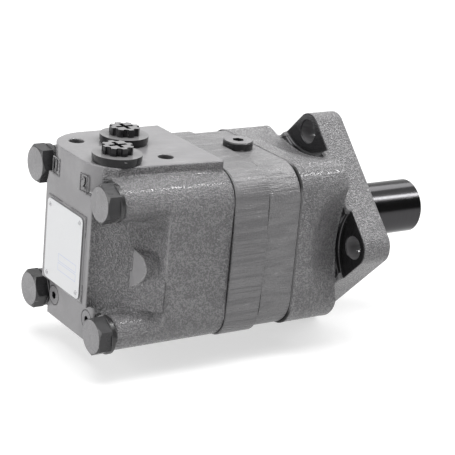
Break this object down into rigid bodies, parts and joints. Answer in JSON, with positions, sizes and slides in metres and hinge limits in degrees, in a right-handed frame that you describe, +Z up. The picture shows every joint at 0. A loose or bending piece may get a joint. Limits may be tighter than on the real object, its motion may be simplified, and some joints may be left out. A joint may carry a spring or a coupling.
{
  "type": "orbital hydraulic motor",
  "caption": "Square-bodied disc-valve orbital hydraulic motor with a four-ear mounting flange, pilot, keyed cylindrical output shaft, top port pad and a working geroler drive inside.",
  "frame": {"origin": "centre of the mounting flange's front face, on the shaft axis", "axes": "+X out along the output shaft, +Z up towards the ports, +Y to the side with the shaft key"},
  "size_m": [0.2381, 0.1278, 0.1278],
  "materials": {
    "painted_casting": "dark grey semi-gloss paint over a rough casting, smooth where machined",
    "painted_steel": "dark grey semi-gloss paint over machined steel",
    "painted_plastic": "moulded plastic with grey overspray",
    "white_plate": "white lacquered plate",
    "polished_shaft": "ground and polished steel",
    "ground_steel": "ground steel",
    "seal_rubber": "moulded rubber",
    "seal_plastic": "filled plastic seal ring"
  },
  "bodies": {
    "housing": {"valve_housing": "painted_casting", "geroler_ring": "painted_steel", "intermediate_housing": "painted_casting", "bearing_housing": "painted_casting", "cap_screws": "painted_steel", "cap_screw_washers": "painted_steel", "nameplate": "white_plate", "nameplate_drive_screws": "painted_steel", "drain_plug": "painted_steel", "drain_plug_washer": "painted_steel", "check_valve_plugs": "painted_steel", "dust_seal": "seal_rubber", "shaft_seal": "seal_rubber", "seal_backup_ring": "ground_steel", "bearing_shim": "ground_steel", "channel_plate": "ground_steel", "channel_plate_dowels": "ground_steel", "balance_plate": "ground_steel", "balance_pins": "ground_steel", "balance_seal": "seal_plastic", "balance_spring": "ground_steel", "rear_seal_ring": "seal_rubber", "middle_seal_ring": "seal_rubber", "front_seal_ring": "seal_rubber", "front_bearing_cup": "ground_steel", "rear_bearing_cup": "ground_steel"},
    "shaft": {"output_shaft": "polished_shaft", "shaft_key": "polished_shaft", "front_bearing_cone": "ground_steel", "rear_bearing_cone": "ground_steel"},
    "front_cage": {"front_bearing_cage": "ground_steel", "front_bearing_rollers": "ground_steel"},
    "rear_cage": {"rear_bearing_cage": "ground_steel", "rear_bearing_rollers": "ground_steel"},
    "orbit": {"drive_spacer": "ground_steel"},
    "rotor": {"geroler_rotor": "ground_steel"},
    "main_link": {"main_drive_link": "ground_steel"},
    "valve_link": {"valve_drive_link": "ground_steel"},
    "disc_valve": {"disc_valve": "ground_steel"},
    "rear_plug": {"rear_port_plug": "painted_plastic"},
    "front_plug": {"front_port_plug": "painted_plastic"},
    "near_ball": {"near_check_ball": "ground_steel"},
    "far_ball": {"far_check_ball": "ground_steel"},
    "roller_1": {"geroler_roller_1": "ground_steel"},
    "roller_2": {"geroler_roller_2": "ground_steel"},
    "roller_3": {"geroler_roller_3": "ground_steel"},
    "roller_4": {"geroler_roller_4": "ground_steel"},
    "roller_5": {"geroler_roller_5": "ground_steel"},
    "roller_6": {"geroler_roller_6": "ground_steel"},
    "roller_7": {"geroler_roller_7": "ground_steel"}
  },
  "joints": [
    {"name": "shaft_spin", "type": "hinge", "parent": "housing", "child": "shaft", "pos_m": [0, 0, 0], "axis": [1, 0, 0], "continuous": true},
    {"name": "front_cage_spin", "type": "hinge", "parent": "housing", "child": "front_cage", "pos_m": [-0.011, 0, 0], "axis": [1, 0, 0], "continuous": true},
    {"name": "rear_cage_spin", "type": "hinge", "parent": "housing", "child": "rear_cage", "pos_m": [-0.053, 0, 0], "axis": [1, 0, 0], "continuous": true},
    {"name": "rotor_orbit", "type": "hinge", "parent": "housing", "child": "orbit", "pos_m": [-0.0865, 0, 0], "axis": [1, 0, 0], "continuous": true},
    {"name": "rotor_spin", "type": "hinge", "parent": "orbit", "child": "rotor", "pos_m": [-0.0865, 0.0026, 0], "axis": [1, 0, 0], "continuous": true},
    {"name": "main_link_spin", "type": "hinge", "parent": "orbit", "child": "main_link", "pos_m": [-0.0395, 0, 0], "axis": [0.9978, -0.0663, 0], "continuous": true},
    {"name": "valve_link_spin", "type": "hinge", "parent": "orbit", "child": "valve_link", "pos_m": [-0.12483, 0, 0], "axis": [0.9964, 0.0851, 0], "continuous": true},
    {"name": "disc_valve_spin", "type": "hinge", "parent": "housing", "child": "disc_valve", "pos_m": [-0.10953, 0, 0], "axis": [1, 0, 0], "continuous": true},
    {"name": "roller_1_spin", "type": "hinge", "parent": "housing", "child": "roller_1", "pos_m": [-0.0865, 0.03249, 0], "axis": [1, 0, 0], "continuous": true},
    {"name": "roller_2_spin", "type": "hinge", "parent": "housing", "child": "roller_2", "pos_m": [-0.0865, 0.02026, 0.0254], "axis": [1, 0, 0], "continuous": true},
    {"name": "roller_3_spin", "type": "hinge", "parent": "housing", "child": "roller_3", "pos_m": [-0.0865, -0.00723, 0.03168], "axis": [1, 0, 0], "continuous": true},
    {"name": "roller_4_spin", "type": "hinge", "parent": "housing", "child": "roller_4", "pos_m": [-0.0865, -0.02927, 0.0141], "axis": [1, 0, 0], "continuous": true},
    {"name": "roller_5_spin", "type": "hinge", "parent": "housing", "child": "roller_5", "pos_m": [-0.0865, -0.02927, -0.0141], "axis": [1, 0, 0], "continuous": true},
    {"name": "roller_6_spin", "type": "hinge", "parent": "housing", "child": "roller_6", "pos_m": [-0.0865, -0.00723, -0.03168], "axis": [1, 0, 0], "continuous": true},
    {"name": "roller_7_spin", "type": "hinge", "parent": "housing", "child": "roller_7", "pos_m": [-0.0865, 0.02026, -0.0254], "axis": [1, 0, 0], "continuous": true},
    {"name": "rear_plug_lift", "type": "slide", "parent": "housing", "child": "rear_plug", "axis": [0, 0, 1], "range_m": [0, 0.012]},
    {"name": "front_plug_lift", "type": "slide", "parent": "housing", "child": "front_plug", "axis": [0, 0, 1], "range_m": [0, 0.012]},
    {"name": "near_ball_lift", "type": "slide", "parent": "housing", "child": "near_ball", "axis": [-1, 0, 0], "range_m": [0, 0.0012]},
    {"name": "far_ball_lift", "type": "slide", "parent": "housing", "child": "far_ball", "axis": [-1, 0, 0], "range_m": [0, 0.0012]}
  ],
  "couplings": [
    {"joint": "front_cage_spin", "follows": "shaft_spin", "ratio": 0.41208},
    {"joint": "rear_cage_spin", "follows": "shaft_spin", "ratio": 0.41208},
    {"joint": "rotor_orbit", "follows": "shaft_spin", "ratio": -6},
    {"joint": "rotor_spin", "follows": "shaft_spin", "ratio": 7},
    {"joint": "main_link_spin", "follows": "shaft_spin", "ratio": 7},
    {"joint": "valve_link_spin", "follows": "shaft_spin", "ratio": 7},
    {"joint": "disc_valve_spin", "follows": "shaft_spin", "ratio": 1}
  ]
}
